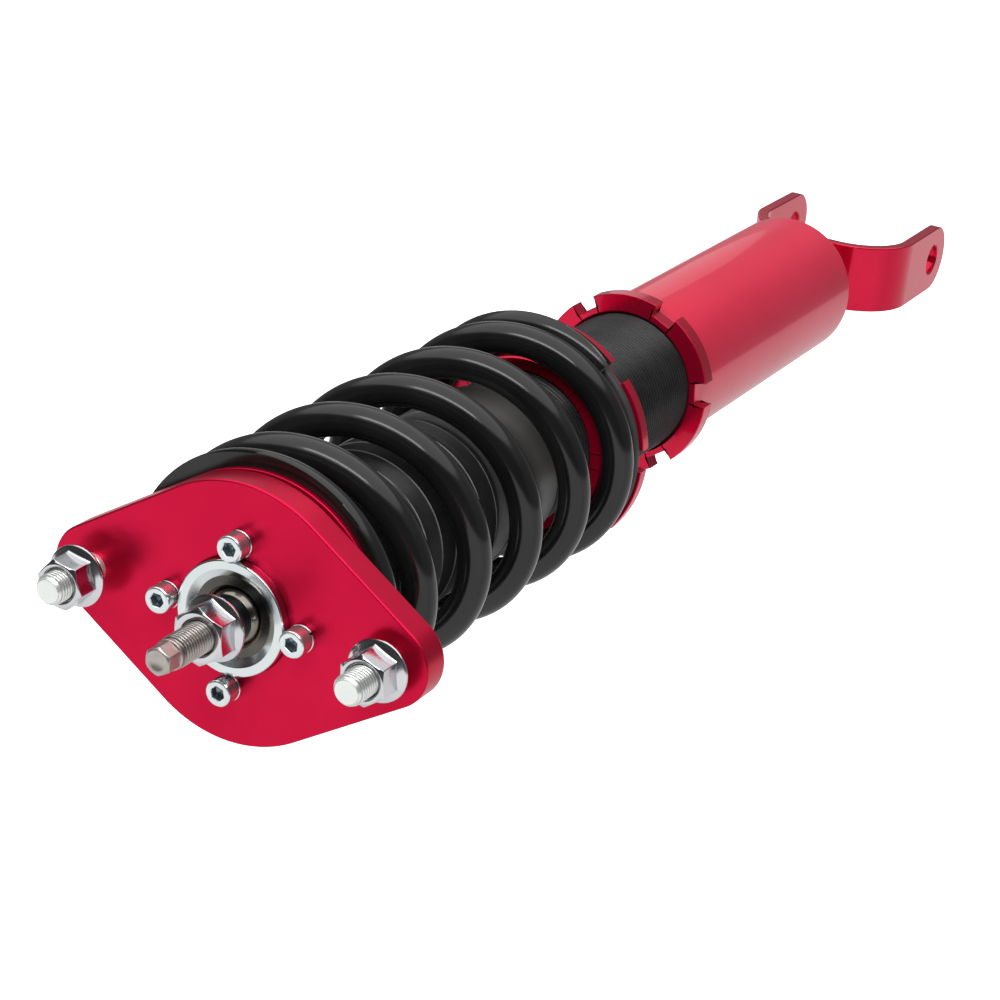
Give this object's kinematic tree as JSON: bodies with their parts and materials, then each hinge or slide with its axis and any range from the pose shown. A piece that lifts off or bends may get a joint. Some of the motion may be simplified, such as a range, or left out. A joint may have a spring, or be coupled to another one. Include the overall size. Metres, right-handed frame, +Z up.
{
  "type": "coilover",
  "caption": "Coilover strut: spherical-bearing top plate with studs, coil spring on a threaded damper body, screw perch and lock ring, and a tube bracket ending in a bolt fork.",
  "frame": {"origin": "centre of the top plate's upper face, midway between the two studs", "axes": "+Z up the damper's axis towards the rod's tip, +X along the line of the studs and of the fork's bolt, +Y across"},
  "size_m": [0.1282, 0.0894, 0.5716],
  "materials": {
    "red_anodised": "satin anodised",
    "zinc_plate": "zinc plated",
    "bright_plate": "bright plated",
    "dark_steel": "oiled",
    "polished_ball": "polished",
    "liner_fabric": "matt",
    "rod_chrome": "hard chrome",
    "foam": "matt foam",
    "black_rubber": "matt",
    "black_gloss": "gloss powder coat",
    "black_body": "satin black",
    "bare_alloy": "machined",
    "steel_tube": "drawn",
    "bronze": "plain"
  },
  "bodies": {
    "top_mount": {"top_plate": "red_anodised", "bearing_housing": "zinc_plate", "housing_circlip": "dark_steel", "bearing_race": "dark_steel", "stud_left": "zinc_plate", "stud_right": "zinc_plate", "stud_nut_left": "bright_plate", "stud_nut_right": "bright_plate", "cap_screw_1": "zinc_plate", "cap_screw_2": "zinc_plate", "cap_screw_3": "zinc_plate", "cap_screw_4": "zinc_plate", "split_washer_1": "zinc_plate", "split_washer_2": "zinc_plate", "split_washer_3": "zinc_plate", "split_washer_4": "zinc_plate"},
    "liner": {"bearing_liner": "liner_fabric"},
    "rod": {"bearing_ball": "polished_ball", "upper_spacer": "dark_steel", "lower_spacer": "dark_steel", "rod_nut": "bright_plate", "piston_rod": "rod_chrome", "upper_seat": "red_anodised", "bump_stop": "foam", "dust_boot": "black_rubber", "piston": "bare_alloy", "piston_band": "black_rubber", "piston_nut": "steel_tube"},
    "damper": {"threaded_body": "black_body", "boot_cup": "black_body", "cylinder_tube": "steel_tube", "rod_guide": "bare_alloy", "guide_bush": "bronze", "rod_seal": "black_rubber", "gland_cap": "black_body", "dust_wiper": "black_rubber", "base_plug": "dark_steel"},
    "gas": {"gas_piston": "bare_alloy", "gas_ring": "black_rubber"},
    "pad": {"spring_pad": "black_rubber", "coil_spring": "black_gloss"},
    "perch": {"spring_perch": "red_anodised"},
    "bracket": {"bracket_tube": "red_anodised", "lock_ring": "red_anodised", "fork_strap": "red_anodised", "fork_ear_left": "red_anodised", "fork_ear_right": "red_anodised", "fork_washer": "zinc_plate", "fork_bolt": "zinc_plate", "fork_dowel_left": "dark_steel", "fork_dowel_right": "dark_steel"}
  },
  "joints": [
    {"name": "tilt_x", "type": "hinge", "parent": "top_mount", "child": "liner", "pos_m": [0, 0, -0.0032], "axis": [1, 0, 0], "range_deg": [-1.8, 1.8]},
    {"name": "tilt_y", "type": "hinge", "parent": "liner", "child": "rod", "pos_m": [0, 0, -0.0032], "axis": [0, 1, 0], "range_deg": [-1.8, 1.8]},
    {"name": "stroke", "type": "slide", "parent": "rod", "child": "damper", "axis": [0, 0, 1], "range_m": [0, 0.06], "stiffness_N_per_m": 58600, "deforming": ["coil_spring", "dust_boot"]},
    {"name": "pad_slide", "type": "slide", "parent": "damper", "child": "pad", "axis": [0, 0, 1], "range_m": [-0.01, 0]},
    {"name": "perch_turn", "type": "hinge", "parent": "pad", "child": "perch", "pos_m": [0, 0, -0.19], "axis": [0, 0, 1], "range_deg": [-1800, 0]},
    {"name": "bracket_slide", "type": "slide", "parent": "damper", "child": "bracket", "axis": [0, 0, 1], "range_m": [-0.02, 0.04]},
    {"name": "gas_slide", "type": "slide", "parent": "damper", "child": "gas", "axis": [0, 0, 1], "range_m": [-0.006, 0]}
  ],
  "couplings": [
    {"joint": "perch_turn", "follows": "pad_slide", "rad_per_m": 3141.6},
    {"joint": "gas_slide", "follows": "stroke", "ratio": -0.0977}
  ]
}
